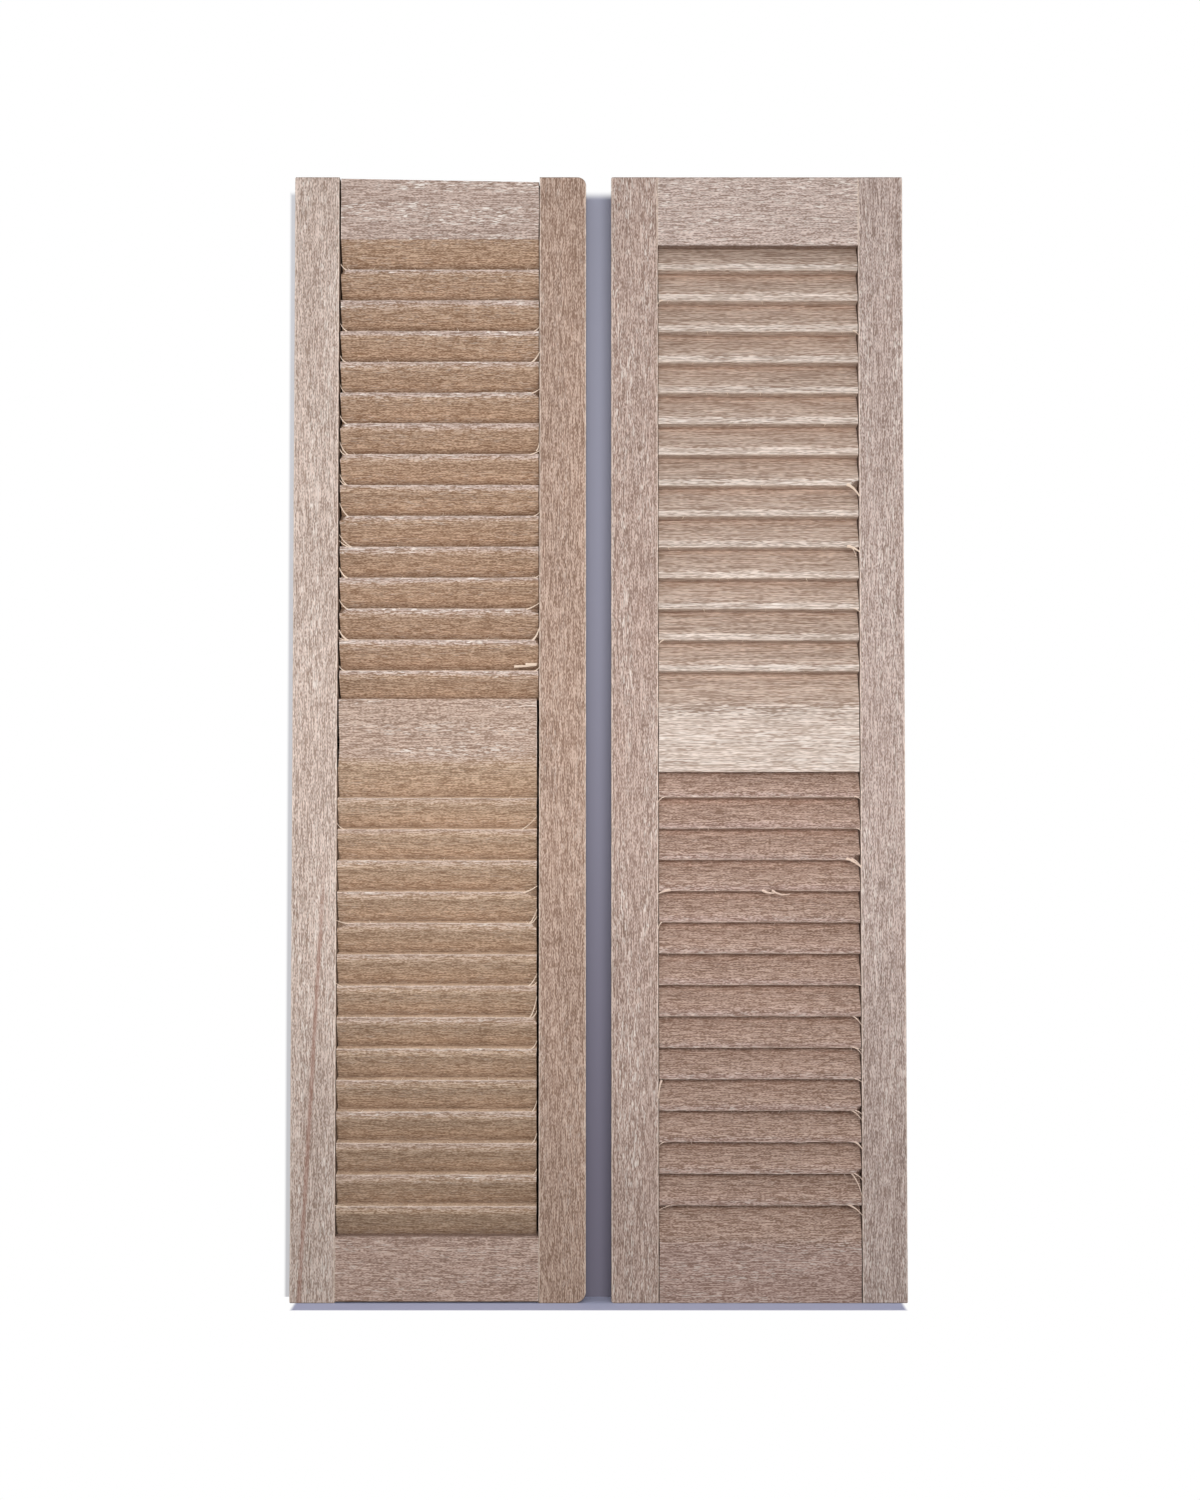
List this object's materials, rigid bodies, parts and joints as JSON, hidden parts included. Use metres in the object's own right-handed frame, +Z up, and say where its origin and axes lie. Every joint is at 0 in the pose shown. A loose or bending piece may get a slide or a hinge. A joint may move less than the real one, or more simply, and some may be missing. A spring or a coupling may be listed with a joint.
{
  "type": "louvred shutters",
  "caption": "Flat bare wood louvred shutters for a doll's house window, fixed slats machined across boards glued between stiles, plain flat backs.",
  "frame": {"origin": "midway between the shutters, on the line of their lower ends, at half their thickness", "axes": "+Z up along the stiles, +X across the pair to the right, +Y from the louvred front to the wall side"},
  "size_m": [0.0698, 0.0032, 0.1286],
  "materials": {
    "stile_wood": "bare, fine sanded, grain upright",
    "louvre_wood": "bare, machined, grain across",
    "rail_wood": "bare, fine sanded, grain across"
  },
  "bodies": {
    "root": {"left_outer_stile": "stile_wood", "left_inner_stile": "stile_wood", "left_upper_louvred_board": "louvre_wood", "left_lower_louvred_board": "louvre_wood", "left_end_rail": "rail_wood", "right_outer_stile": "stile_wood", "right_inner_stile": "stile_wood", "right_upper_louvred_board": "louvre_wood", "right_lower_louvred_board": "louvre_wood", "right_end_rail": "rail_wood"}
  },
  "joints": []
}
